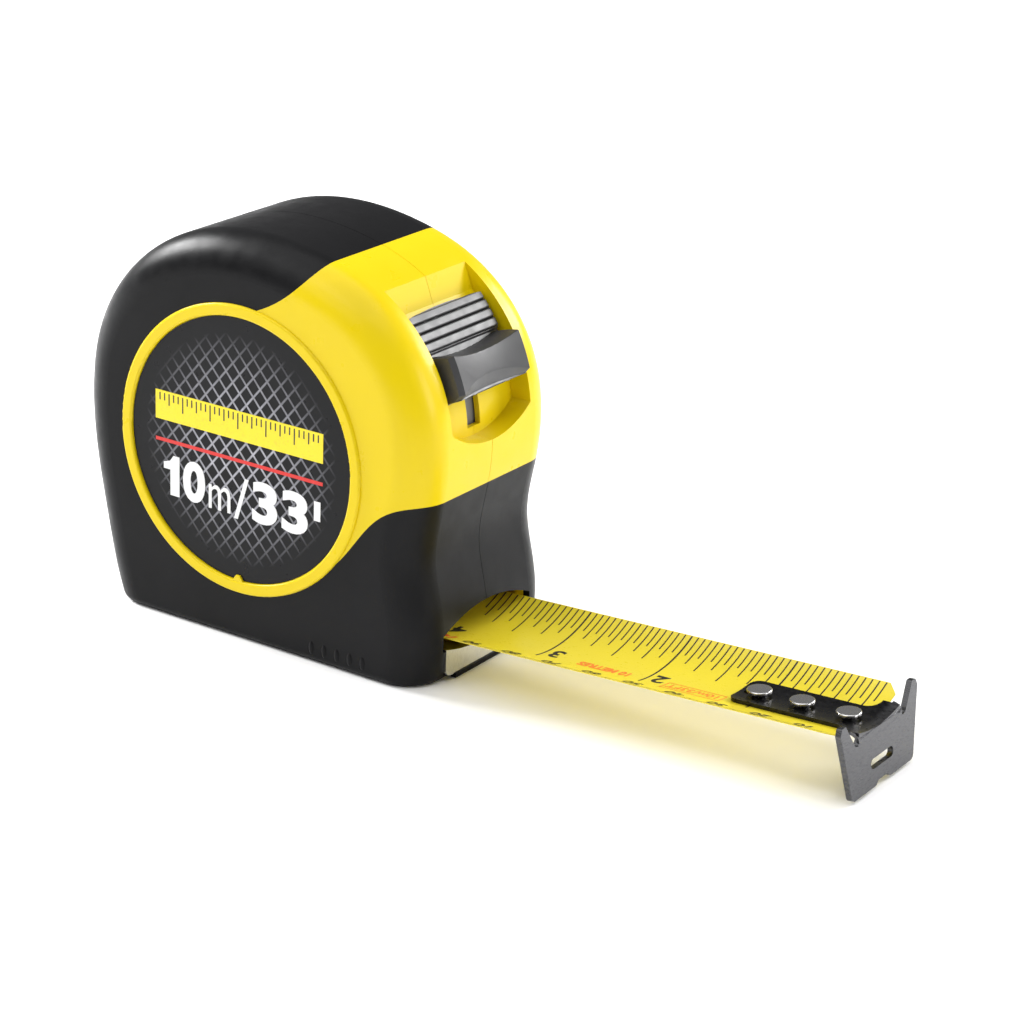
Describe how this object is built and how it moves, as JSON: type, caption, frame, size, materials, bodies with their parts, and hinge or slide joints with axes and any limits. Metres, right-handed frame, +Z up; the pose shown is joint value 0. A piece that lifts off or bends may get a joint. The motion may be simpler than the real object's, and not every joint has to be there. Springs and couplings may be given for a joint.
{
  "type": "tape measure",
  "caption": "Pocket tape measure: rounded two-colour case, spring-wound curved blade with a riveted sliding end hook, thumb lock and belt clip.",
  "frame": {"origin": "on the flat base, straight below the spool axis, in the parting plane", "axes": "+X out of the blade mouth, +Z up, the shown label on the -Y side, belt clip on the +Y side"},
  "size_m": [0.1909, 0.059, 0.0902],
  "materials": {
    "yellow_abs": "semi-gloss moulded ABS",
    "black_rubber": "matte soft-touch elastomer",
    "bumper_rubber": "matte",
    "bright_steel": "bright rolled",
    "label_film": "satin printed film",
    "liner_sheet": "translucent sheet",
    "screw_steel": "zinc plated",
    "post_nylon": "moulded nylon",
    "drum_nylon": "moulded nylon",
    "spring_steel": "blued strip",
    "blade_yellow": "film-coated spring steel",
    "hook_gunmetal": "black-oxide and gunmetal",
    "rivet_nickel": "nickel plated",
    "lock_black": "satin moulded acetal",
    "clip_steel": "nickel-plated spring steel"
  },
  "bodies": {
    "case": {"left_shell": "yellow_abs", "right_shell": "yellow_abs", "left_overmould": "black_rubber", "right_overmould": "black_rubber", "mouth_wear_plate": "bright_steel", "front_bumper": "bumper_rubber", "left_label": "label_film", "right_label": "label_film", "left_liner": "liner_sheet", "right_liner": "liner_sheet", "case_screws": "screw_steel", "hub_post": "post_nylon", "clip_foot": "clip_steel", "clip_screw": "screw_steel"},
    "spool": {"spool_drum": "drum_nylon", "drum_cover": "drum_nylon", "blade_coil": "blade_yellow", "mainspring": "spring_steel"},
    "blade": {"blade": "blade_yellow", "blade_tail": "blade_yellow"},
    "hook": {"hook": "hook_gunmetal", "hook_rivets": "rivet_nickel"},
    "lock": {"lock_button": "lock_black", "lock_slider": "lock_black"},
    "clip": {"belt_clip": "clip_steel"}
  },
  "joints": [
    {"name": "blade_slide", "type": "slide", "parent": "case", "child": "blade", "axis": [0.9986, 0, 0.0523], "range_m": [-0.0915, 0], "deforming": ["blade_tail"]},
    {"name": "hook_slide", "type": "slide", "parent": "blade", "child": "hook", "axis": [0.9986, 0, 0.0523], "range_m": [-0.0013, 0]},
    {"name": "spool_spin", "type": "hinge", "parent": "case", "child": "spool", "pos_m": [0, 0, 0.0435], "axis": [0, 1, 0], "range_deg": [-0.5, 190.45]},
    {"name": "lock_slide", "type": "hinge", "parent": "case", "child": "lock", "pos_m": [0.006, 0, 0.05], "axis": [0, 1, 0], "range_deg": [0, 7]},
    {"name": "clip_flex", "type": "hinge", "parent": "case", "child": "clip", "pos_m": [0, 0.0248, 0.0564], "axis": [1, 0, 0], "range_deg": [0, 5], "stiffness_Nm_per_rad": 2.5}
  ],
  "couplings": [
    {"joint": "spool_spin", "follows": "blade_slide", "rad_per_m": -36.232}
  ]
}
